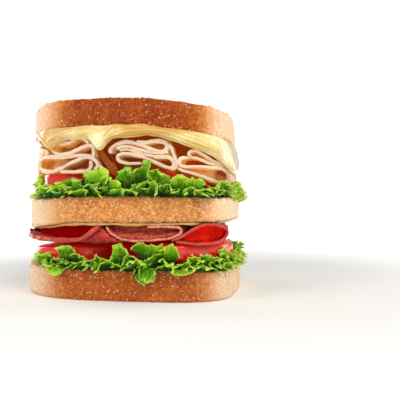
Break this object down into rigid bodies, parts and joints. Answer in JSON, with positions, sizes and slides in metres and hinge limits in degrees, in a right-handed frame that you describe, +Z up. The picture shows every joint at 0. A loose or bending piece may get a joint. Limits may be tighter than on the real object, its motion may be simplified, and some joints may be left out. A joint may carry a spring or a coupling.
{
  "type": "club sandwich",
  "caption": "Tall stacked sandwich of bread slices with melted cheese, folded turkey, corned beef, tomato and frilled lettuce between them.",
  "frame": {"origin": "bottom centre of the bounding box, on the surface the sandwich rests on", "axes": "+Z up through the stack, +X to the right along a slice's width, the shown crust faces -Y"},
  "size_m": [0.1344, 0.1212, 0.1072],
  "materials": {
    "crust_dark": "baked brown crust, fine pits, pale at the two ends",
    "crust_golden": "light golden crust, pale at the two ends",
    "crust_brown": "brown crust, pale at the two ends",
    "cheese": "melted, soft gloss",
    "spread": "smooth, soft gloss",
    "turkey": "moist cooked meat",
    "beef": "moist cured meat",
    "tomato": "wet, glossy skin and flesh",
    "lettuce": "waxy leaf"
  },
  "bodies": {
    "root": {"bread_bottom": "crust_brown", "bread_middle": "crust_golden", "bread_top": "crust_dark", "lettuce_lower": "lettuce", "lettuce_upper": "lettuce", "tomato_lower_front_left": "tomato", "tomato_lower_front_right": "tomato", "tomato_lower_back_left": "tomato", "tomato_lower_back_right": "tomato", "tomato_upper_front_left": "tomato", "tomato_upper_front_right": "tomato", "tomato_upper_back_left": "tomato", "tomato_upper_back_right": "tomato", "spread": "spread", "cheese": "cheese", "turkey_front_left_upper": "turkey", "turkey_front_left_lower": "turkey", "turkey_front_centre_upper": "turkey", "turkey_front_centre_lower": "turkey", "turkey_front_right_upper": "turkey", "turkey_front_right_lower": "turkey", "turkey_front_inner": "turkey", "beef_front_left_band": "beef", "beef_front_right_loop": "beef", "beef_front_left_fold": "beef", "beef_front_left_back": "beef", "beef_front_centre": "beef", "turkey_back_left_upper": "turkey", "turkey_back_left_lower": "turkey", "turkey_back_centre_upper": "turkey", "turkey_back_centre_lower": "turkey", "turkey_back_right_upper": "turkey", "turkey_back_right_lower": "turkey", "turkey_back_inner": "turkey", "beef_back_left_band": "beef", "beef_back_right_loop": "beef", "beef_back_left_fold": "beef", "beef_back_left_back": "beef", "beef_back_centre": "beef", "turkey_core": "turkey"}
  },
  "joints": []
}
